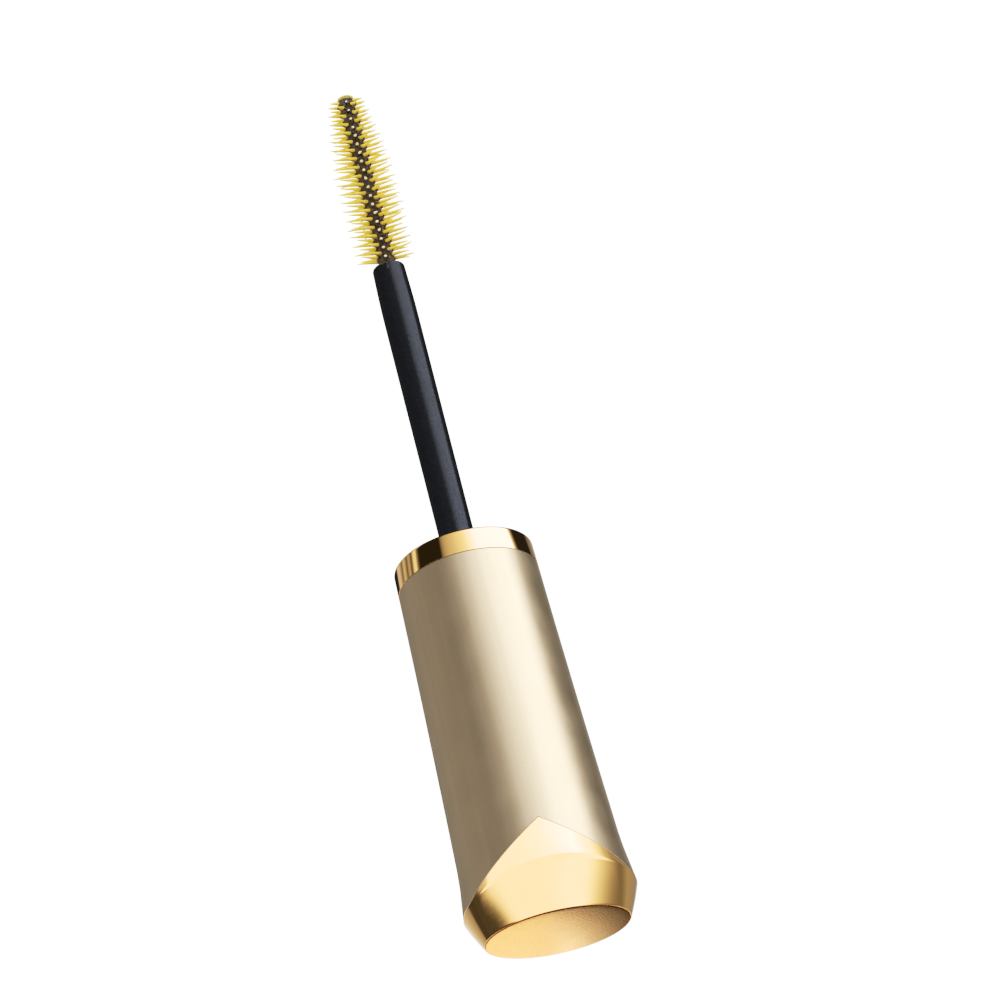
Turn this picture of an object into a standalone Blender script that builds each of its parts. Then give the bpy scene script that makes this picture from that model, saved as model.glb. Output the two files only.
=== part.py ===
"""Mascara applicator: a long flared cap with its inner parts, the wand and a moulded brush.

The cap stands on the flat disc in its end, at z = 0. The wand and brush point up, along +Z,
and the front is towards -Y, where the gable-shaped edge of the sleeve has its peak.
Lengths are millimetres; every point is turned into metres when its mesh is made.
"""

import math

import bmesh
import bpy

MM = 0.001

# Outer shape of the cap
CAP_HEIGHT = 50.2
MOUTH_RADIUS = 8.5
TAPER = 0.0245           # growth of the radius per mm down from the mouth
TAPER_CURVE = 0.00021    # how fast that growth itself grows
FLARE_TOP = 9.8          # below this height the cap spreads more
FLARE_SLOPE = 0.083
FLARE_BLEND = 0.8
WALL = 0.5               # drawn aluminium of the sleeve
FIT_GAP = 0.07           # between pieces that are pressed together

# Gable edge, chamfer and disc of the end
GABLE_PEAK = 10.8
GABLE_SLOPE = 0.675
FIRST_LEVEL = GABLE_PEAK + 1.5   # first level ring of the sleeve, above its gable edge
CREASE_SIDE = 4.05       # height of the crease above the chamfer, at the sides
CREASE_RISE = 0.9        # how much higher it is at the front and back
CREASE_SOFT = 0.55       # length of the rounding there
EDGE_MIN = 0.08          # least height of gold wall between crease and sleeve
DISC_HALF_X = 8.72
DISC_HALF_Y = 6.15
DISC_THICKNESS = 0.9
DISC_PROUD = 0.2
DISC_EDGE = 0.1
DISC_JOINT = 0.07
RIM_LAND = 0.14

# Collar at the mouth
COLLAR_HEIGHT = 2.95
COLLAR_EDGE = 0.25
COLLAR_SPIGOT = 2.85
COLLAR_INNER_RADIUS = 7.74

# Spigot and cavity of the end cap
SPIGOT_TOP = 19.0
SPIGOT_WALL = 0.9
CAVITY_FLOOR = 2.4
CAVITY_HALF_X = 7.9
CAVITY_HALF_Y = 6.0
CAVITY_SHOULDER = 7.0

# Screw liner
LINER_RIM = 49.6
LINER_NECK_RADIUS = 7.67
LINER_SHOULDER = 44.2
LINER_BOTTOM = 31.4
LINER_CLEARANCE = 0.25
BORE_RADIUS = 7.0
THREAD_CREST_RADIUS = 6.62
THREAD_PITCH = 2.5
THREAD_TOP = 47.6
THREAD_BOTTOM = 37.4
THREAD_RINGS = 18
LINER_FLOOR = 34.0
SEAT_DEPTH = 0.9
SEAT_RADIUS = 4.3
SOCKET_RADIUS = 2.65
SOCKET_OUTER_RADIUS = 3.7
SOCKET_FLOOR = 21.6
SOCKET_BOTTOM = 20.4

# Weight and seal
WEIGHT_RADIUS = 5.8
WEIGHT_BOTTOM = 2.5
WEIGHT_TOP = 20.3
WEIGHT_EDGE = 0.5
SEAL_THICKNESS = 0.95
SEAL_RADIUS = 6.5
SEAL_HOLE_RADIUS = 2.3

# Wand
STEM_RADIUS = 2.13
STEM_TIP_RADIUS = 1.97
STEM_TOP = 91.3
STEM_TAPER_START = 86.0
STEM_EDGE = 0.4
PLUG_RADIUS = 2.58
PLUG_BOTTOM = 21.7
FLANGE_RADIUS = 4.2
SHANK_BORE_RADIUS = 1.0
SHANK_BORE_FLOOR = 82.0

# Brush
SHANK_RADIUS = 0.92
CORE_RADIUS = 0.55
BRUSH_BOTTOM = STEM_TOP + FIT_GAP
BRUSH_TOP = 115.8
BRUSH_SHOULDER = 115.4
BRUSH_EDGE = 0.15        # depth of the bevel round the brush's flat tip
BRUSH_TUBE_RADIUS = 1.03
BRUSH_BORE_RADIUS = 0.62
BRUSH_BORE_TOP = 114.6
BRISTLE_ROWS = 12
BRISTLES_PER_ROW = 19
BRISTLE_START = 92.37    # height of the lowest bristle of a row whose phase is 0
BRISTLE_PITCH = 1.23
ROW_TURN = -0.07         # of the first row from the front, in radians
# Quarter pitches that each row stands higher; a row that stands lower has one bristle fewer
ROW_PHASES = (0, -1, 1, 0, 1, -1, -2, -1, -2, 0, 1, -2)
BRISTLE_WIDTH = 0.36
BRISTLE_TIP_WIDTH = 0.13
# How far the tips stand from the axis, at shares of the way up the brush
BRISTLE_REACHES = ((0.0, 3.5), (0.3, 3.8), (0.58, 3.7), (0.7, 3.3), (0.85, 2.7), (1.0, 2.2))

SEGMENTS = 48
STEM_SEGMENTS = 24
CORE_SEGMENTS = 16


def clear_scene():
    """Remove whatever the open file holds."""
    for item in list(bpy.data.objects):
        bpy.data.objects.remove(item, do_unlink=True)


def make_material(name, colour, roughness, metallic):
    """A plain Principled material."""
    material = bpy.data.materials.new(name)
    material.use_nodes = True
    shader = material.node_tree.nodes["Principled BSDF"]
    shader.inputs["Base Color"].default_value = (*colour, 1.0)
    shader.inputs["Roughness"].default_value = roughness
    shader.inputs["Metallic"].default_value = metallic
    return material


def angles(count):
    """Evenly spaced angles, starting at the front."""
    return [2 * math.pi * step / count for step in range(count)]


def ring(radius_at, height_at, count=SEGMENTS):
    """A closed ring of points; radius and height are functions of the angle from the front."""
    points = []
    for turn in angles(count):
        radius = radius_at(turn)
        points.append((radius * math.sin(turn), -radius * math.cos(turn), height_at(turn)))
    return points


def round_ring(radius, height, count=SEGMENTS):
    """A level circle."""
    return ring(lambda turn: radius, lambda turn: height, count)


def oval_ring(half_x, half_y, height, count=SEGMENTS):
    """A level ellipse, each point where it faces the same way as a circle's point at that angle."""
    points = []
    for turn in angles(count):
        size = math.hypot(half_x * math.sin(turn), half_y * math.cos(turn))
        points.append((half_x ** 2 * math.sin(turn) / size, -half_y ** 2 * math.cos(turn) / size, height))
    return points


def between(low, high, share):
    """A ring part of the way from one ring to another."""
    return [tuple(a + share * (b - a) for a, b in zip(p, q)) for p, q in zip(low, high)]


def bridge(bm, low, high):
    """Quads between two rings of vertices."""
    count = len(low)
    for i in range(count):
        j = (i + 1) % count
        bm.faces.new((low[i], low[j], high[j], high[i]))


def finish_object(name, bm, material, smooth_angle):
    """Turn a bmesh in millimetres into a named object in metres."""
    bmesh.ops.recalc_face_normals(bm, faces=bm.faces)
    bmesh.ops.scale(bm, vec=(MM, MM, MM), verts=bm.verts)
    mesh = bpy.data.meshes.new(name)
    bm.to_mesh(mesh)
    bm.free()
    mesh.shade_smooth()
    mesh.set_sharp_from_angle(angle=math.radians(smooth_angle))
    mesh.materials.append(material)
    item = bpy.data.objects.new(name, mesh)
    bpy.context.collection.objects.link(item)
    return item


def loft(name, rings, material, looped=False, smooth_angle=30):
    """A closed body through a list of rings, capped flat at both ends or looped like a tube wall."""
    bm = bmesh.new()
    loops = [[bm.verts.new(point) for point in points] for points in rings]
    for low, high in zip(loops, loops[1:]):
        bridge(bm, low, high)
    if looped:
        bridge(bm, loops[-1], loops[0])
    else:
        bm.faces.new(loops[0])
        bm.faces.new(loops[-1])
    return finish_object(name, bm, material, smooth_angle)


def lathe(name, profile, material, count=SEGMENTS, looped=False):
    """A turned body from (radius, height) points."""
    rings = [round_ring(radius, height, count) for radius, height in profile]
    return loft(name, rings, material, looped)


def cap_radius(height):
    """Outer radius of the cap: a slight trumpet taper with more flare near the end."""
    down = CAP_HEIGHT - height
    radius = MOUTH_RADIUS + TAPER * down + TAPER_CURVE * down * down
    if height < FLARE_TOP:
        spread = FLARE_TOP - height
        radius += FLARE_SLOPE * (math.hypot(spread, FLARE_BLEND) - FLARE_BLEND)
    return radius


def crease_height(turn):
    """Height of the crease between the cap's wall and the chamfer."""
    return CREASE_SIDE + CREASE_RISE * math.cos(turn) ** 2


def gable_height(turn):
    """Height of the sleeve's lower edge: two planes that meet over the front and back."""
    height = GABLE_PEAK
    for _ in range(20):
        height = GABLE_PEAK - GABLE_SLOPE * cap_radius(height) * abs(math.sin(turn))
    return max(height, crease_height(turn) + EDGE_MIN)


def wall_ring(inset, height_at):
    """A ring on the cap's outer surface, or inside it by the inset."""
    return ring(lambda turn: cap_radius(height_at(turn)) - inset, height_at)


def flare_heights(edge_height):
    """Height functions from a gable-shaped edge up to the first level ring above its peak."""
    def part_way(share):
        return lambda turn: edge_height(turn) + share * (FIRST_LEVEL - edge_height(turn))

    return [part_way(share) for share in (0.0, 0.35, 0.7, 1.0)]


def sleeve_heights():
    """Height functions from the gable edge up to the collar."""
    heights = flare_heights(gable_height)
    top = CAP_HEIGHT - COLLAR_HEIGHT - FIT_GAP
    for step in range(1, 5):
        level = FIRST_LEVEL + (top - FIRST_LEVEL) * step / 4
        heights.append(lambda turn, z=level: z)
    return heights


def build_outer_sleeve():
    """Thin shell with a gable-shaped lower edge."""
    material = make_material("champagne_anodised", (0.56, 0.48, 0.36), 0.36, 1.0)
    heights = sleeve_heights()
    outside = [wall_ring(0.0, height_at) for height_at in heights]
    inside = [wall_ring(WALL, height_at) for height_at in reversed(heights)]
    return loft("outer_sleeve", outside + inside, material, looped=True)


def build_mouth_collar():
    """Polished band with a spigot that goes down inside the sleeve."""
    material = make_material("polished_gold_collar", (0.86, 0.62, 0.30), 0.12, 1.0)
    bottom = CAP_HEIGHT - COLLAR_HEIGHT
    spigot_radius = cap_radius(bottom) - WALL - FIT_GAP
    edge = COLLAR_EDGE
    profile = [
        (cap_radius(bottom), bottom),
        (cap_radius(CAP_HEIGHT - edge), CAP_HEIGHT - edge),
        (MOUTH_RADIUS - 0.3 * edge, CAP_HEIGHT - 0.3 * edge),
        (MOUTH_RADIUS - edge, CAP_HEIGHT),
        (COLLAR_INNER_RADIUS, CAP_HEIGHT),
        (COLLAR_INNER_RADIUS, bottom - COLLAR_SPIGOT),
        (spigot_radius, bottom - COLLAR_SPIGOT),
        (spigot_radius, bottom),
    ]
    return lathe("mouth_collar", profile, material, looped=True)


def crease_rings(foot):
    """Three rings that round the crease between the chamfer and the wall."""
    def soft(turn):
        room = gable_height(turn) - crease_height(turn)
        return min(CREASE_SOFT * math.cos(turn) ** 2, 0.8 * room) + 0.02

    sharp = wall_ring(0.0, crease_height)
    upper = wall_ring(0.0, lambda turn: crease_height(turn) + soft(turn))
    lower = []
    for turn, p, q in zip(angles(SEGMENTS), sharp, foot):
        share = soft(turn) / math.dist(p, q)
        lower.append(tuple(a + share * (b - a) for a, b in zip(p, q)))
    middle = between(between(lower, upper, 0.5), sharp, 0.5)
    return [lower, middle, upper]


def build_end_cap():
    """Chiselled end: chamfer, gable-shaped wall flush with the sleeve, and a hollow spigot above."""
    material = make_material("polished_gold_end", (0.90, 0.68, 0.34), 0.14, 1.0)
    joint_x = DISC_HALF_X + DISC_JOINT
    joint_y = DISC_HALF_Y + DISC_JOINT
    recess = DISC_THICKNESS + DISC_JOINT
    foot = oval_ring(joint_x + RIM_LAND, joint_y + RIM_LAND, DISC_PROUD)
    inset = WALL + FIT_GAP

    def edge_height(turn):
        return gable_height(turn) - FIT_GAP

    spigot_top = cap_radius(SPIGOT_TOP) - inset
    rings = [
        oval_ring(joint_x, joint_y, recess),
        oval_ring(joint_x, joint_y, DISC_PROUD),
        foot,
        *crease_rings(foot),
        wall_ring(0.0, edge_height),
        *[wall_ring(inset, height_at) for height_at in flare_heights(edge_height)],
        round_ring(spigot_top, SPIGOT_TOP),
        round_ring(spigot_top - SPIGOT_WALL, SPIGOT_TOP),
        round_ring(spigot_top - SPIGOT_WALL, CAVITY_SHOULDER),
        oval_ring(CAVITY_HALF_X, CAVITY_HALF_Y, CAVITY_FLOOR),
    ]
    return loft("end_cap", rings, material)


def build_end_disc():
    """Elliptical plate let into the end, on which the cap stands."""
    material = make_material("satin_gold", (0.92, 0.70, 0.38), 0.34, 1.0)
    edge = DISC_EDGE
    rings = [
        oval_ring(DISC_HALF_X - edge, DISC_HALF_Y - edge, 0.0),
        oval_ring(DISC_HALF_X, DISC_HALF_Y, edge),
        oval_ring(DISC_HALF_X, DISC_HALF_Y, DISC_THICKNESS),
    ]
    return loft("end_disc", rings, material)


def thread_radius(turn, height):
    """Radius of the liner's bore: a rounded helical ridge stands out of its wall."""
    along = (height - THREAD_BOTTOM) / THREAD_PITCH - turn / (2 * math.pi)
    ridge = max(0.0, math.cos(2 * math.pi * along)) ** 1.5
    ends = min(height - THREAD_BOTTOM, THREAD_TOP - height) / THREAD_PITCH
    fade = max(0.0, min(1.0, 2.0 * ends))
    return BORE_RADIUS - (BORE_RADIUS - THREAD_CREST_RADIUS) * ridge * fade


def build_inner_cap():
    """Plastic liner: screw thread for the bottle's neck and a deep socket for the wand."""
    material = make_material("liner_plastic", (0.03, 0.03, 0.035), 0.45, 0.0)
    clear = WALL + LINER_CLEARANCE
    rings = [
        round_ring(SOCKET_OUTER_RADIUS, SOCKET_BOTTOM),
        round_ring(SOCKET_OUTER_RADIUS, LINER_BOTTOM),
        round_ring(cap_radius(LINER_BOTTOM) - clear, LINER_BOTTOM),
        round_ring(cap_radius(LINER_SHOULDER) - clear, LINER_SHOULDER - FIT_GAP),
        round_ring(LINER_NECK_RADIUS, LINER_SHOULDER - FIT_GAP),
        round_ring(LINER_NECK_RADIUS, LINER_RIM),
        round_ring(BORE_RADIUS, LINER_RIM),
    ]
    for step in range(THREAD_RINGS + 1):
        level = THREAD_TOP + (THREAD_BOTTOM - THREAD_TOP) * step / THREAD_RINGS
        rings.append(ring(lambda turn, z=level: thread_radius(turn, z), lambda turn, z=level: z))
    rings += [
        round_ring(BORE_RADIUS, LINER_FLOOR),
        round_ring(SEAT_RADIUS, LINER_FLOOR),
        round_ring(SEAT_RADIUS, LINER_FLOOR - SEAT_DEPTH),
        round_ring(SOCKET_RADIUS, LINER_FLOOR - SEAT_DEPTH),
        round_ring(SOCKET_RADIUS, SOCKET_FLOOR),
    ]
    return loft("inner_cap", rings, material, smooth_angle=40)


def build_cap_weight():
    """Steel slug that stands in the end cap, under the liner's socket."""
    material = make_material("weight_steel", (0.45, 0.45, 0.46), 0.4, 1.0)
    profile = [
        (WEIGHT_RADIUS - WEIGHT_EDGE, WEIGHT_BOTTOM),
        (WEIGHT_RADIUS, WEIGHT_BOTTOM + WEIGHT_EDGE),
        (WEIGHT_RADIUS, WEIGHT_TOP - WEIGHT_EDGE),
        (WEIGHT_RADIUS - WEIGHT_EDGE, WEIGHT_TOP),
    ]
    return lathe("cap_weight", profile, material)


def build_neck_seal():
    """Soft washer on the liner's floor, which the bottle's rim presses on."""
    material = make_material("seal_foam", (0.75, 0.75, 0.73), 0.8, 0.0)
    bottom = LINER_FLOOR + FIT_GAP
    top = bottom + SEAL_THICKNESS
    profile = [
        (SEAL_HOLE_RADIUS, top),
        (SEAL_RADIUS, top),
        (SEAL_RADIUS, bottom),
        (SEAL_HOLE_RADIUS, bottom),
    ]
    return lathe("neck_seal", profile, material, looped=True)


def build_stem():
    """Wand: plug and flange in the liner, a long rod, and a bore in its tip for the brush."""
    material = make_material("stem_plastic", (0.012, 0.016, 0.024), 0.35, 0.0)
    flange_bottom = LINER_FLOOR - SEAT_DEPTH + FIT_GAP
    flange_top = LINER_FLOOR - FIT_GAP
    edge = STEM_EDGE
    profile = [
        (PLUG_RADIUS - edge, PLUG_BOTTOM),
        (PLUG_RADIUS, PLUG_BOTTOM + edge),
        (PLUG_RADIUS, flange_bottom),
        (FLANGE_RADIUS, flange_bottom),
        (FLANGE_RADIUS, flange_top),
        (STEM_RADIUS, flange_top),
        (STEM_RADIUS, STEM_TAPER_START),
        (STEM_TIP_RADIUS, STEM_TOP - edge),
        (STEM_TIP_RADIUS - 0.3 * edge, STEM_TOP - 0.3 * edge),
        (STEM_TIP_RADIUS - edge, STEM_TOP),
        (SHANK_BORE_RADIUS, STEM_TOP),
        (SHANK_BORE_RADIUS, SHANK_BORE_FLOOR),
    ]
    return lathe("stem", profile, material, STEM_SEGMENTS)


def build_brush_core():
    """Stiff core of the brush: a shank in the stem and a thin rod in the bristle tube."""
    material = make_material("core_plastic", (0.05, 0.032, 0.02), 0.5, 0.0)
    profile = [
        (SHANK_RADIUS, SHANK_BORE_FLOOR + FIT_GAP),
        (SHANK_RADIUS, STEM_TOP),
        (CORE_RADIUS, STEM_TOP),
        (CORE_RADIUS, BRUSH_BORE_TOP - FIT_GAP),
    ]
    return lathe("brush_core", profile, material, CORE_SEGMENTS)


def bristle_reach(height):
    """How far the tips of the bristles stand from the axis, fullest below the middle."""
    share = (height - BRISTLE_START) / (BRISTLE_PITCH * BRISTLES_PER_ROW)
    for (low, near), (high, far) in zip(BRISTLE_REACHES, BRISTLE_REACHES[1:]):
        if share <= high:
            return near + (far - near) * (share - low) / (high - low)
    return BRISTLE_REACHES[-1][1]


def row_turn(row):
    """Angle of a row of bristles from the front."""
    return ROW_TURN + 2 * math.pi * row / BRISTLE_ROWS


def tube_ring(radius, height, shifted=False):
    """Ring of the tube with two columns for each row; a shifted one stands higher by each row's phase."""
    half = math.asin(BRISTLE_WIDTH / 2 / BRUSH_TUBE_RADIUS)
    points = []
    for row in range(BRISTLE_ROWS):
        level = height + (ROW_PHASES[row] * BRISTLE_PITCH / 4 if shifted else 0.0)
        for turn in (row_turn(row) - half, row_turn(row) + half):
            points.append((radius * math.sin(turn), -radius * math.cos(turn), level))
    return points


def raise_bristle(bm, face, row, height):
    """Pull one face of the tube out into a tapered bristle."""
    turn = row_turn(row)
    reach = bristle_reach(height)
    tip = bmesh.ops.extrude_discrete_faces(bm, faces=[face])["faces"][0]
    half = BRISTLE_TIP_WIDTH / 2
    outward = (math.sin(turn), -math.cos(turn))
    across = (math.cos(turn), math.sin(turn))
    centre = tip.calc_center_median()
    for vert in tip.verts:
        side = half if vert.co.x * across[0] + vert.co.y * across[1] > 0 else -half
        lift = half if vert.co.z > centre.z else -half
        vert.co.x = outward[0] * reach + across[0] * side
        vert.co.y = outward[1] * reach + across[1] * side
        vert.co.z = height + lift


def build_brush_bristles():
    """Soft tube over the core with rows of bristles, open at its lower end."""
    material = make_material("bristle_elastomer", (0.80, 0.62, 0.06), 0.45, 0.0)
    levels = [BRISTLE_START + BRISTLE_PITCH * (step - 0.5) / 2 for step in range(2 * BRISTLES_PER_ROW)]
    rings = [
        tube_ring(BRUSH_BORE_RADIUS, BRUSH_BORE_TOP),
        tube_ring(BRUSH_BORE_RADIUS, BRUSH_BOTTOM),
        tube_ring(BRUSH_TUBE_RADIUS, BRUSH_BOTTOM),
    ]
    first = len(rings)
    rings += [tube_ring(BRUSH_TUBE_RADIUS, level, shifted=True) for level in levels]
    rings += [
        tube_ring(BRUSH_TUBE_RADIUS, BRUSH_SHOULDER),
        tube_ring(BRUSH_TUBE_RADIUS - BRUSH_EDGE, BRUSH_TOP - BRUSH_EDGE),
        tube_ring(BRUSH_TUBE_RADIUS - 3 * BRUSH_EDGE, BRUSH_TOP),
    ]
    bm = bmesh.new()
    loops = [[bm.verts.new(point) for point in points] for points in rings]
    for low, high in zip(loops, loops[1:]):
        bridge(bm, low, high)
    bm.faces.new(loops[0])
    bm.faces.new(loops[-1])
    bmesh.ops.recalc_face_normals(bm, faces=bm.faces)
    for row in range(BRISTLE_ROWS):
        lowest = 1 if ROW_PHASES[row] < 0 else 0
        for index in range(lowest, BRISTLES_PER_ROW):
            low = loops[first + 2 * index]
            high = loops[first + 2 * index + 1]
            corners = (low[2 * row], low[2 * row + 1], high[2 * row], high[2 * row + 1])
            face = next(f for f in low[2 * row].link_faces if set(f.verts) == set(corners))
            height = BRISTLE_START + BRISTLE_PITCH * (index + ROW_PHASES[row] / 4)
            raise_bristle(bm, face, row, height)
    return finish_object("brush_bristles", bm, material, 20)


def build():
    """Make every piece of the applicator."""
    clear_scene()
    build_outer_sleeve()
    build_mouth_collar()
    build_end_cap()
    build_end_disc()
    build_inner_cap()
    build_cap_weight()
    build_neck_seal()
    build_stem()
    build_brush_core()
    build_brush_bristles()


build()
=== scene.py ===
"""Looks of a mascara applicator: champagne and gold cap, dark wand and yellow moulded brush.

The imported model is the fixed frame. Every visible piece is made again here as a finer mesh in the
same place. The lengths named below are millimetres, and meshes are turned into metres when they are
made. Heights are counted from the underside of the end disc, and turns from the front.
"""

import math
import random
from collections import namedtuple

import bmesh
import bpy
from mathutils import Matrix, Vector

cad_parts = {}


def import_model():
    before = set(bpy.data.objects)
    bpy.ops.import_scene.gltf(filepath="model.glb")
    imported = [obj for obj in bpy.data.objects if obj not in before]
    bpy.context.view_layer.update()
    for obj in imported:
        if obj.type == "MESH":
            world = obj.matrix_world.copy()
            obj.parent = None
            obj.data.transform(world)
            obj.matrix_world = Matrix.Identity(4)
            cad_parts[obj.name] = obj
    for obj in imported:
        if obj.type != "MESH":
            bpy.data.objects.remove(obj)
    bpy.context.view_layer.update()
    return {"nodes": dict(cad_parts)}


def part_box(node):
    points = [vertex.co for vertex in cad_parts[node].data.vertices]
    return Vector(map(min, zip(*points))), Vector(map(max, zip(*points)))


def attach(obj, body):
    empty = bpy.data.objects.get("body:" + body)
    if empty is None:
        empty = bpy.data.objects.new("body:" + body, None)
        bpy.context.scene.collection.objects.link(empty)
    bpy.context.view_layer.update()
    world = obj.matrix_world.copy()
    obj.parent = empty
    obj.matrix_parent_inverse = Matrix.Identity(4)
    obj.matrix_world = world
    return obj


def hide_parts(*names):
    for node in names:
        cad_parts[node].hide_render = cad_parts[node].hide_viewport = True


MM = 0.001

# Camera: a long lens, below the horizon and rolled, so that the applicator leans to the left
CAMERA_TURN = -6.76
CAMERA_RISE = -26.6
CAMERA_ROLL = -14.51
CAMERA_DISTANCE = 1100.0
CAMERA_LENS = 330.06
CAMERA_SENSOR = 36.0
CAMERA_NEAREST = 10.0
CAMERA_FARTHEST = 100000.0
AIM_HEIGHT = 56.9
AIM_RIGHT = 6.09

# Cap
SEGMENTS = 192
CAP_HEIGHT = 50.2
MOUTH_RADIUS = 8.5
TAPER = 0.0245
TAPER_CURVE = 0.00021
FLARE_TOP = 9.8
FLARE_SLOPE = 0.083
FLARE_BLEND = 0.8
WALL = 0.5
FIT_GAP = 0.07
GABLE_PEAK = 10.8
GABLE_SLOPE = 0.675
GABLE_ROUNDS = 20
CREASE_SIDE = 4.05
CREASE_RISE = 0.9
CREASE_SOFT = 0.55
CREASE_SHARP = 0.1
CREASE_ROOM = 0.8
CREASE_ROOM_MIN = 0.005
CHAMFER_SWELL = 0.06
EDGE_MIN = 0.08
LIP = 0.02
DISC_HALF_X = 8.72
DISC_HALF_Y = 6.15
DISC_THICKNESS = 0.9
DISC_PROUD = 0.2
DISC_EDGE = 0.1
DISC_CROWN = 0.1
DISC_EDGE_STEPS = 6
DISC_JOINT = 0.03
RIM_LAND = 0.14
RIM_EDGE = 0.04
SPIGOT_START = 12.3
SPIGOT_TOP = 19.0
SPIGOT_WALL = 0.9
CAVITY_FLOOR = 2.4
CAVITY_HALF_X = 7.9
CAVITY_HALF_Y = 6.0
CAVITY_SHOULDER = 7.0
COLLAR_HEIGHT = 2.95
COLLAR_EDGE = 0.28
COLLAR_INNER_EDGE = 0.15
COLLAR_SPIGOT_EDGE = 0.1
COLLAR_SPIGOT = 2.85
COLLAR_INNER_RADIUS = 7.74

# Where rings of points lie: shares of the way up the sleeve, up the chamfer and out across the disc
SLEEVE_LEVELS = (0.0005, 0.01, 0.03, 0.06, 0.1, 0.15, 0.21, 0.3, 0.4, 0.5, 0.6, 0.7, 0.8, 0.9, 0.97)
CHAMFER_LEVELS = (0.03, 0.16, 0.3, 0.44, 0.58, 0.72, 0.86)
DISC_LEVELS = (0.15, 0.3, 0.45, 0.6, 0.75, 0.9, 1.0)

# Liner and seal
LINER_RIM = 49.6
LINER_NECK_RADIUS = 7.67
LINER_SHOULDER = 44.2
LINER_BOTTOM = 31.4
LINER_CLEARANCE = 0.25
LINER_EDGE = 0.12
BORE_RADIUS = 7.0
THREAD_CREST_RADIUS = 6.62
THREAD_PITCH = 2.5
THREAD_TOP = 47.6
THREAD_BOTTOM = 37.4
THREAD_RINGS = 64
THREAD_MARGIN = 0.4
THREAD_SHARPNESS = 1.5
THREAD_FADE_TURNS = 0.5
LINER_FLOOR = 34.0
SEAT_DEPTH = 0.9
SEAT_RADIUS = 4.3
SOCKET_RADIUS = 2.65
SOCKET_OUTER_RADIUS = 3.7
SOCKET_FLOOR = 21.6
SOCKET_BOTTOM = 20.4
SEAL_RADIUS = 6.5
SEAL_HOLE_RADIUS = 2.3
SEAL_EDGE = 0.12

# Wand
STEM_SEGMENTS = 96
STEM_RADIUS = 2.13
STEM_TIP_RADIUS = 1.97
STEM_TAPER_START = 86.0
STEM_TAPER_BLEND = 2.0
STEM_EDGE = 0.4
PLUG_RADIUS = 2.58
PLUG_BOTTOM = 21.7
FLANGE_RADIUS = 4.2
SHANK_BORE_RADIUS = 1.0
SHANK_BORE_FLOOR = 82.0
SHANK_BORE_EDGE = 0.08
SHANK_RADIUS = 0.92
SHANK_EDGE = 0.06
CORE_RADIUS = 0.55
CORE_SEGMENTS = 48

# Brush: the tube is divided into levels a quarter pitch apart, a bristle takes four of them, and a
# row's phase is the level that its lowest bristle starts at
BRISTLE_ROWS = 12
BRISTLES_PER_ROW = 19
BRISTLE_PITCH = 1.23
BRISTLE_START = 92.37
ROW_TURN = -0.07
ROW_PHASES = (0, 3, 1, 0, 1, 3, 2, 3, 2, 0, 1, 2)
LAST_LEVEL = 77
LEVELS = 4
BRISTLE_SIDES = 12
TUBE_RADIUS = 1.03
TUBE_BORE_RADIUS = 0.62
TUBE_BORE_TOP = 114.6
DOME_LEANS = (20, 40, 60, 78)
ROOT_FILLET_RADIUS = 0.25
ROOT_FILLET_MIDDLE = 0.05
ROOT_FILLET_LENGTH = 0.16
ROOT_RADIUS = 0.23
TIP_RADIUS = 0.055
TIP_LEANS = (30, 60)
BRISTLE_STEPS = 5
BRISTLE_TAPER = 1.15

# Distance of the bristles' tips from the axis, at shares of the way up the brush
REACHES = ((0.0, 3.5), (0.3, 3.8), (0.58, 3.7), (0.7, 3.3), (0.85, 2.7), (1.0, 2.2))

# Slopes of the bristles along the axis, and how much their lengths and bends vary
SWEEP_UP = 0.15
FRONT_DROOP = 0.48
BACK_RISE = 0.24
SHORTEST = 0.94
LONGEST = 1.03
SWAY = 0.08
BEND = 0.09
BRISTLE_SEED = 11

# Dark brown on the brush: where it fades, sideways and forwards for the strip along the front row, and
# outwards from the axis and up to the yellow tip for the rest
STRIP_SIDE = (0.28, 0.4)
STRIP_FRONT = (-1.0, -0.8)
STRIP_REACH = 0.78
BROWN_REACH = (1.28, 1.45)
BROWN_EDGE_NOISE = 0.4
YELLOW_TIP = (115.0, 115.6)
# Painted highlights: where pale cream starts on the front row's tips, and where all the tips turn paler
# yellow
FRONT_TIP_HIGHLIGHT_REACH = (1.2, 1.6)
TIP_HIGHLIGHT_REACH = (2.2, 3.6)

# How far red, green and blue light goes into the bristles
GLOW_DEPTHS = (0.5, 0.4, 0.1)

# Colours, linear
ANODISED = (0.62, 0.455, 0.29)
ANODISED_CLOUDS = ((0.595, 0.448, 0.275), (0.645, 0.490, 0.31))
# Lighter tone of the lengthwise streaks, partly brushed grain and partly painted reflection
ANODISED_STREAK_AND_SHEEN = (0.70, 0.535, 0.345)
ANODISED_FLECK = (0.74, 0.58, 0.385)
GOLD = (0.98, 0.57, 0.185)
DEEP_GOLD = (0.95, 0.53, 0.165)
SATIN_GOLD = (0.97, 0.43, 0.12)
SATIN_GRAIN = ((0.86, 0.37, 0.09), (1.0, 0.45, 0.15))
STEEL = (0.56, 0.56, 0.57)
LINER_GREY = (0.03, 0.03, 0.034)
FOAM_WHITE = (0.74, 0.74, 0.71)
WAND_BLUE = (0.165, 0.18, 0.215)
CORE_BROWN = (0.06, 0.036, 0.02)
BRISTLE_YELLOW = (0.86, 0.68, 0.06)
YELLOW_CLOUDS = ((0.70, 0.45, 0.02), (0.93, 0.74, 0.10))
# Painted highlights: paler yellow towards the bristle tips, and pale cream on the front row's tips
TIP_HIGHLIGHT_YELLOW = (0.90, 0.74, 0.20)
FRONT_TIP_HIGHLIGHT = (0.98, 0.90, 0.52)
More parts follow.
